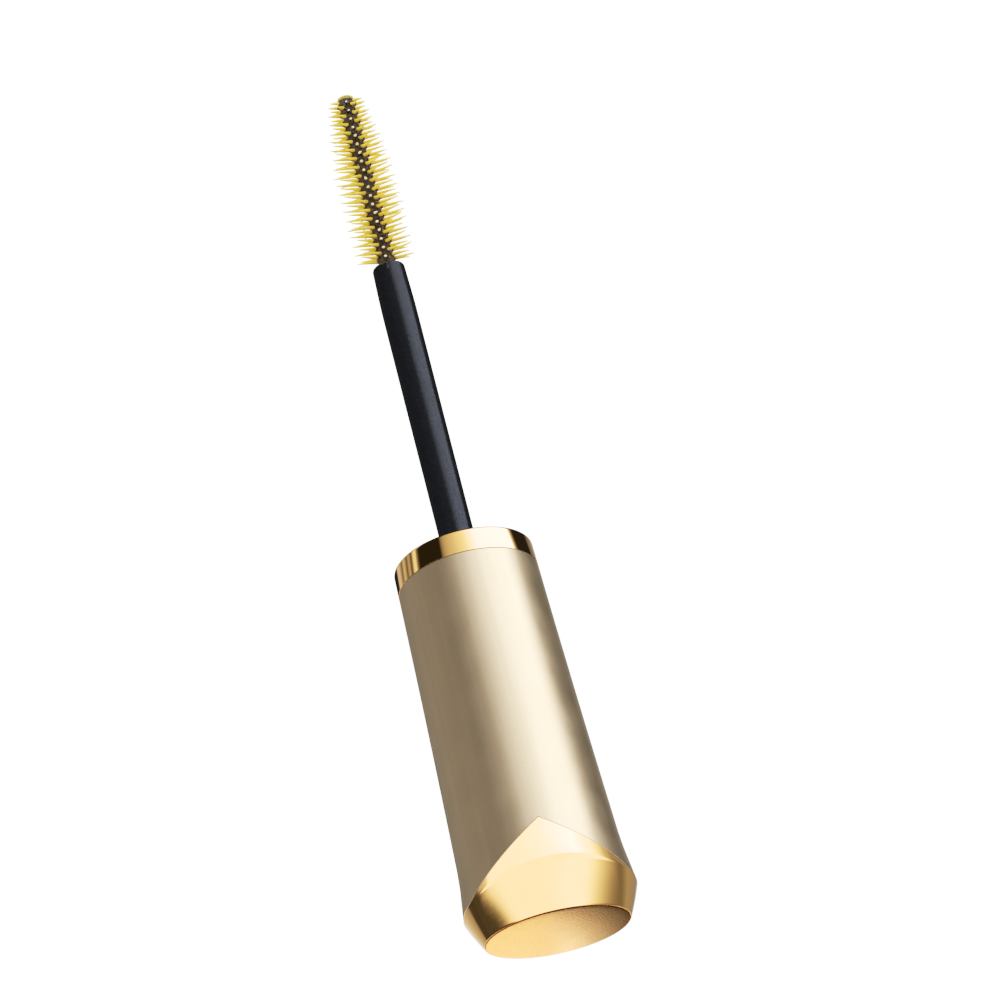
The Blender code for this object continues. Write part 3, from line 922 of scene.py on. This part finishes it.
class TubeGrid:
    """Shared vertices on the tube: columns at half-row angles and levels a quarter pitch apart."""

    def __init__(self, bm):
        self.bm = bm
        self.verts = {}

    def height(self, level):
        """Height of a level; the first bristle of a row of phase 0 is in the middle of its levels."""
        return BRISTLE_START + (level - LEVELS / 2) * BRISTLE_PITCH / LEVELS

    def vert(self, half_column, level):
        """half_column counts half rows: even ones are row centres, odd ones the seams between rows."""
        key = (half_column % (2 * BRISTLE_ROWS), level)
        if key not in self.verts:
            turn = ROW_TURN + math.pi * key[0] / BRISTLE_ROWS
            point = (TUBE_RADIUS * math.sin(turn), -TUBE_RADIUS * math.cos(turn), self.height(level))
            self.verts[key] = self.bm.verts.new(point)
        return self.verts[key]

    def cell(self, row, level):
        """The twelve vertices round a bristle's cell, from its lower middle, anticlockwise."""
        middle = 2 * row
        loop = [self.vert(middle, level)]
        loop += [self.vert(middle + 1, level + step) for step in range(LEVELS + 1)]
        loop += [self.vert(middle, level + LEVELS)]
        loop += [self.vert(middle - 1, level + LEVELS - step) for step in range(LEVELS + 1)]
        return loop

    def blank(self, row, low, high):
        """Two plain faces between two levels, where a row has no bristle."""
        middle = 2 * row
        for side in (1, -1):
            seam = [self.vert(middle + side, level) for level in range(low, high + 1)]
            self.bm.faces.new([self.vert(middle, low), *seam, self.vert(middle, high)])


def bristle_stations(length):
    """(distance along the bristle, radius) pairs from the root fillet to the domed tip."""
    between = 0.5 * (ROOT_FILLET_RADIUS + ROOT_RADIUS)
    stations = [(0.0, ROOT_FILLET_RADIUS), (ROOT_FILLET_MIDDLE, between), (ROOT_FILLET_LENGTH, ROOT_RADIUS)]
    straight = length - TIP_RADIUS
    for step in range(1, BRISTLE_STEPS + 1):
        share = step / BRISTLE_STEPS
        radius = ROOT_RADIUS + (TIP_RADIUS - ROOT_RADIUS) * share ** BRISTLE_TAPER
        stations.append((ROOT_FILLET_LENGTH + (straight - ROOT_FILLET_LENGTH) * share, radius))
    for lean in TIP_LEANS:
        angle = math.radians(lean)
        stations.append((straight + TIP_RADIUS * math.sin(angle), TIP_RADIUS * math.cos(angle)))
    return stations


def grow_bristle(bm, loop, row, height, draw):
    """A tapered, slightly bent bristle that grows out of a cell of the tube."""
    turn = ROW_TURN + 2 * math.pi * row / BRISTLE_ROWS
    outward = Vector((math.sin(turn), -math.cos(turn), 0.0))
    across = Vector((math.cos(turn), math.sin(turn), 0.0))
    upward = Vector((0.0, 0.0, 1.0))
    length = (bristle_reach(height) - TUBE_RADIUS) * draw.uniform(SHORTEST, LONGEST)
    sway = draw.gauss(0.0, SWAY)
    bend = draw.gauss(0.0, BEND)
    facing = math.cos(turn)
    lean = SWEEP_UP * abs(math.sin(turn)) - (FRONT_DROOP if facing > 0 else BACK_RISE) * facing
    previous = loop
    for distance, radius in bristle_stations(length):
        share = distance / length
        rise = lean * distance + bend * share ** 2 * length * 0.5
        centre = outward * (TUBE_RADIUS + distance) + upward * (height + rise)
        centre += across * (sway * share ** 2 * length * 0.5)
        verts = []
        for side in range(BRISTLE_SIDES):
            angle = math.radians(-90 + 360 * side / BRISTLE_SIDES)
            point = centre + across * (radius * math.cos(angle)) + upward * (radius * math.sin(angle))
            if distance == 0.0:
                arc = radius * math.cos(angle) / TUBE_RADIUS
                around = Vector((math.sin(turn + arc), -math.cos(turn + arc), 0.0)) * TUBE_RADIUS
                point = around + upward * (height + radius * math.sin(angle))
            verts.append(bm.verts.new(point))
        bridge(bm, previous, verts)
        previous = verts
    bm.faces.new(previous)


def make_bristles(material):
    """Tube with staggered rows of bristles, one continuous skin."""
    draw = random.Random(BRISTLE_SEED)
    bm = bmesh.new()
    grid = TubeGrid(bm)
    for row, phase in enumerate(ROW_PHASES):
        ceiling = phase + LEVELS * ((LAST_LEVEL - phase) // LEVELS)
        if phase > 0:
            grid.blank(row, 0, phase)
        if ceiling < LAST_LEVEL:
            grid.blank(row, ceiling, LAST_LEVEL)
        for level in range(phase, ceiling, LEVELS):
            grow_bristle(bm, grid.cell(row, level), row, grid.height(level + LEVELS / 2), draw)
    columns = 2 * BRISTLE_ROWS
    bottom, top = [corner.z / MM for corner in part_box("brush_bristles")]
    low = [grid.vert(column, 0) for column in range(columns)]
    high = [grid.vert(column, LAST_LEVEL) for column in range(columns)]
    bore = ((TUBE_RADIUS, bottom), (TUBE_BORE_RADIUS, bottom), (TUBE_BORE_RADIUS, TUBE_BORE_TOP))
    for radius, height in bore:
        verts = [bm.verts.new(point) for point in tube_ring(radius, height)]
        bridge(bm, low, verts)
        low = verts
    bm.faces.new(low)
    shoulder = grid.height(LAST_LEVEL)
    for lean in DOME_LEANS:
        angle = math.radians(lean)
        points = tube_ring(TUBE_RADIUS * math.cos(angle), shoulder + (top - shoulder) * math.sin(angle))
        verts = [bm.verts.new(point) for point in points]
        bridge(bm, high, verts)
        high = verts
    pole = bm.verts.new((0.0, 0.0, top))
    for index in range(columns):
        bm.faces.new((high[index], high[(index + 1) % columns], pole))
    return add_piece("bristle_brush", bm, "brush_bristles", material, sharp_angle=60)


# Camera, floor and light


def direction(azimuth, elevation):
    """Unit vector; azimuth 0 is the front, positive towards +X."""
    turn, rise = math.radians(azimuth), math.radians(elevation)
    return Vector((math.sin(turn) * math.cos(rise), -math.cos(turn) * math.cos(rise), math.sin(rise)))


def place_camera():
    """The camera at the angle the applicator is shown from."""
    back = direction(CAMERA_TURN, CAMERA_RISE)
    level = direction(CAMERA_TURN + 90, 0)
    upright = back.cross(level)
    roll = math.radians(CAMERA_ROLL)
    right = level * math.cos(roll) + upright * math.sin(roll)
    up = upright * math.cos(roll) - level * math.sin(roll)
    aim = level * AIM_RIGHT + Vector((0.0, 0.0, AIM_HEIGHT))
    data = bpy.data.cameras.new("camera")
    data.lens = CAMERA_LENS
    data.sensor_width = CAMERA_SENSOR
    data.clip_start = CAMERA_NEAREST * MM
    data.clip_end = CAMERA_FARTHEST * MM
    camera = add_object("camera", data)
    axes = Matrix((right, up, back)).transposed().to_4x4()
    camera.matrix_world = Matrix.Translation((aim + back * CAMERA_DISTANCE) * MM) @ axes
    bpy.context.scene.camera = camera


def make_floor():
    """Pale floor that brightens into the white ground far away; it is seen from above only."""
    bm = bmesh.new()
    bmesh.ops.create_circle(bm, cap_ends=True, segments=96, radius=FLOOR_RADIUS * MM)
    mesh = finished_mesh("floor", bm)
    material, graph = new_material("pale_floor", FLOOR_WHITE, 0.7)
    distance = graph.length(graph.point())
    graph.feed("Emission Strength", graph.fade(distance, FLOOR_GLOW_RANGE, FLOOR_GLOW, BACKDROP))
    graph.feed("Emission Color", (*WHITE, 1.0))
    nodes = graph.nodes
    below = nodes.new("ShaderNodeNewGeometry").outputs["Backfacing"]
    clear = nodes.new("ShaderNodeBsdfTransparent").outputs["BSDF"]
    seen = graph.mix_shaders(below, nodes["Principled BSDF"].outputs["BSDF"], clear)
    graph.plug(seen, nodes["Material Output"].inputs["Surface"])
    mesh.materials.append(material)
    floor = add_object("floor", mesh)
    floor.visible_shadow = False
    floor.visible_diffuse = False
    floor.visible_glossy = False
    floor.visible_transmission = False
    return floor


def make_world():
    """White behind the object, and a dim even fill for its light."""
    world = bpy.data.worlds.new("studio")
    bpy.context.scene.world = world
    world.use_nodes = True
    graph = Graph(world.node_tree)
    fill = graph.nodes["Background"]
    fill.inputs["Color"].default_value = (*WARM_WHITE, 1.0)
    fill.inputs["Strength"].default_value = WORLD_FILL
    backdrop = graph.nodes.new("ShaderNodeBackground")
    backdrop.inputs["Color"].default_value = (*WHITE, 1.0)
    backdrop.inputs["Strength"].default_value = BACKDROP
    seen = graph.nodes.new("ShaderNodeLightPath").outputs["Is Camera Ray"]
    both = graph.mix_shaders(seen, fill.outputs["Background"], backdrop.outputs["Background"])
    graph.plug(both, graph.nodes["World Output"].inputs["Surface"])


def narrowed(azimuth, rise):
    """Azimuth on the slanting softbox: its dark parts lean towards the camera below a level."""
    rate = NARROWING_LEFT if azimuth < 0 else NARROWING_RIGHT
    depth = min(NARROWING_DEPTH, max(0.0, NARROWING_TOP - rise))
    return azimuth * (1 - rate * depth * (2 - abs(azimuth) / 90))


def panel_mesh(name, box, distance):
    """A patch of a sphere round the object, whose UVs run across and up."""
    start, end = box.stops[0][0], box.stops[-1][0]
    bm = bmesh.new()
    layer = bm.loops.layers.uv.new("uv")
    steps = max(4, int((end - start) / PANEL_STEP))
    tiers = max(4, int((box.high - box.low) / PANEL_TIER))
    grid = []
    for up in range(tiers + 1):
        rise = box.low + (box.high - box.low) * up / tiers
        grid.append([])
        for across in range(steps + 1):
            azimuth = start + (end - start) * across / steps
            turn = CAMERA_TURN + (narrowed(azimuth, rise) if name == SLANTING else azimuth)
            grid[-1].append(bm.verts.new(direction(turn, rise) * distance * MM))
    for up in range(tiers):
        for across in range(steps):
            corners = ((across, up), (across + 1, up), (across + 1, up + 1), (across, up + 1))
            face = bm.faces.new([grid[j][i] for i, j in corners])
            for loop, (i, j) in zip(face.loops, corners):
                loop[layer].uv = (i / steps, j / tiers)
    return finished_mesh(name, bm)


def champagne_tint(strength):
    """Green and blue, for red of 1, in the light on the sleeve: dim parts are browner."""
    return 0.94 + 0.08 * min(1.5, strength), 0.78 + 0.34 * min(1.0, strength)


def gold_tint(strength):
    """Green and blue in the light on polished gold: the brightest parts are cooler."""
    return 1.0, 1.0 + COOL_RATE * max(0.0, min(strength, COOLEST) - COOL_START) ** COOL_POWER


def satin_tint(strength):
    """Green and blue in the light on the satin disc: dim parts are less orange."""
    return 1.0 + 0.18 * max(0.0, 1.0 - strength / 2.0), 1.12 - 0.28 * max(0.0, strength - 1.0)


def plain_tint(strength):
    """Green and blue in the light on everything else."""
    return 1.0, 1.0 + 0.12 * min(1.0, strength)


TINTS = {"sleeve": champagne_tint, "collar": gold_tint, "end": gold_tint, "disc": satin_tint}


def softbox_material(name, box):
    """Light that follows the stops across and fades out at the low and high edge; it hides nothing."""
    material = bpy.data.materials.new(name)
    material.use_nodes = True
    graph = Graph(material.node_tree)
    graph.nodes.clear()
    tint = TINTS.get(box.lit[0], plain_tint)
    coordinates = graph.nodes.new("ShaderNodeTexCoord")
    across, up, _ = graph.split(coordinates.outputs["UV"])
    start, end = box.stops[0][0], box.stops[-1][0]
    peak = max(strength for _, strength in box.stops)
    ramp = graph.nodes.new("ShaderNodeValToRGB")
    elements = ramp.color_ramp.elements
    for index, (azimuth, strength) in enumerate(box.stops):
        position = (azimuth - start) / (end - start)
        stop = elements[index] if index < 2 else elements.new(position)
        stop.position = position
        level = strength / peak
        green, blue = tint(strength)
        stop.color = (level, level * green, level * blue, 1.0)
    graph.plug(across, ramp.inputs["Fac"])
    low_edge, high_edge = [width / (box.high - box.low) for width in box.edges]
    rise = graph.remap(up, 0.0, low_edge, 0.0, peak)
    fall = graph.remap(up, 1.0 - high_edge, 1.0, 1.0, 0.0)
    glow = graph.nodes.new("ShaderNodeEmission")
    graph.plug(graph.calculate("MULTIPLY", rise, fall), glow.inputs["Strength"])
    graph.plug(ramp.outputs["Color"], glow.inputs["Color"])
    both = graph.nodes.new("ShaderNodeAddShader")
    graph.plug(glow.outputs["Emission"], both.inputs[0])
    graph.plug(graph.nodes.new("ShaderNodeBsdfTransparent").outputs["BSDF"], both.inputs[1])
    output = graph.nodes.new("ShaderNodeOutputMaterial")
    graph.plug(both.outputs["Shader"], output.inputs["Surface"])
    return material


def make_softbox(name, box, distance, pieces):
    """A curved softbox that lights the given pieces."""
    mesh = panel_mesh(name, box, distance)
    mesh.materials.append(softbox_material(name, box))
    panel = add_object(name, mesh)
    panel.visible_camera = False
    panel.visible_shadow = False
    receivers = bpy.data.collections.new(name)
    for piece in pieces:
        receivers.objects.link(piece)
    panel.light_linking.receiver_collection = receivers


def light_up(groups):
    """Every softbox, each a little further out than the last."""
    for index, (name, box) in enumerate(SOFTBOXES.items()):
        pieces = [piece for group in box.lit for piece in groups[group]]
        distance = DISC_LIGHT_DISTANCE if "disc" in box.lit else LIGHT_DISTANCE
        make_softbox(name, box, distance * (1 + LIGHT_SPREAD * index), pieces)


def finish_look():
    """Colour management: a clean white ground, and highlights that roll off softly."""
    settings = bpy.context.scene.view_settings
    settings.view_transform = "Standard"
    settings.use_curve_mapping = True
    mapping = settings.curve_mapping
    mapping.white_level = (WHITE_LEVEL, WHITE_LEVEL, WHITE_LEVEL)
    curve = mapping.curves[3]
    for light, shown in SHOULDER:
        curve.points.new(light / WHITE_LEVEL, shown)
    mapping.update()


def make_pieces():
    """Every piece and the floor, in groups that share their softboxes."""
    wand_plastic = plastic_material("stem_plastic", WAND_BLUE, 0.15, 400.0, 0.000002, metallic=1.0)
    return {
        "sleeve": [
            make_floor(),
            make_sleeve(champagne_material()),
            make_liner(plastic_material("liner_plastic", LINER_GREY, 0.42, 2500.0, 0.00001)),
            make_seal(plastic_material("seal_foam", FOAM_WHITE, 0.8, 3500.0, 0.00004)),
        ],
        "wand": [make_stem(wand_plastic)],
        "brush": [
            make_core(plastic_material("core_plastic", CORE_BROWN, 0.45, 3000.0, 0.00001)),
            make_bristles(bristle_material()),
        ],
        "collar": [make_collar(polished_gold_material("mirror_gold", 0.03, 0.07))],
        "end": [make_end_cap(polished_gold_material("polished_gold", 0.07, 0.14))],
        "disc": [make_disc(satin_gold_material())],
    }


def main():
    """Build everything round the loaded frame."""
    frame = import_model()
    place_camera()
    make_world()
    light_up(make_pieces())
    for place in frame["nodes"]["cap_weight"].material_slots:
        place.material = steel_material()
    finish_look()


main()
